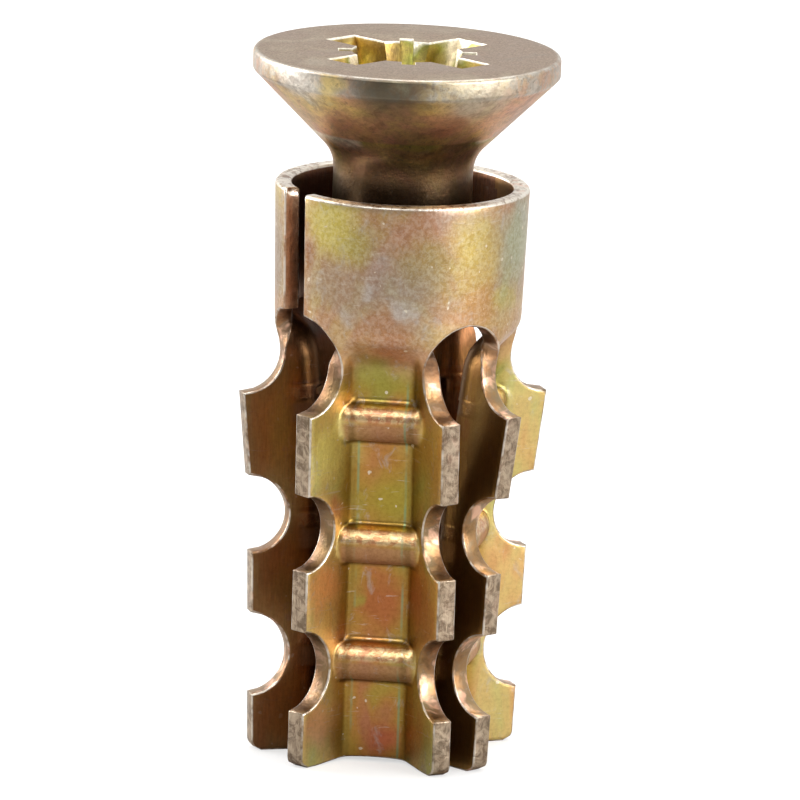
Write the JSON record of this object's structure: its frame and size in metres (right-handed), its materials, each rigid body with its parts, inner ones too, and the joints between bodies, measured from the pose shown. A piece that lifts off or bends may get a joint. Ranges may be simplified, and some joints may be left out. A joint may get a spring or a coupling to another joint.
{
  "type": "expansion bolt",
  "caption": "Split sheet-steel expansion sleeve with toothed, beaded legs, and a countersunk cross-recess screw standing in its collar.",
  "frame": {"origin": "middle of the leg ends, on the surface that the anchor stands on", "axes": "+Z along the sleeve and screw axis, towards the screw head; -Y through the middle of the leg next to the seam"},
  "size_m": [0.0158, 0.0158, 0.0366],
  "materials": {
    "sleeve_steel": "yellow passivated zinc plating, iridescent",
    "screw_steel": "yellow passivated zinc plating, dull brown-grey"
  },
  "bodies": {
    "sleeve_body": {"sleeve": "sleeve_steel"},
    "screw_body": {"screw": "screw_steel"}
  },
  "joints": [
    {"name": "screw_drive", "type": "slide", "parent": "sleeve_body", "child": "screw_body", "axis": [0, 0, 1], "range_m": [-0.0036, 0.007]}
  ]
}
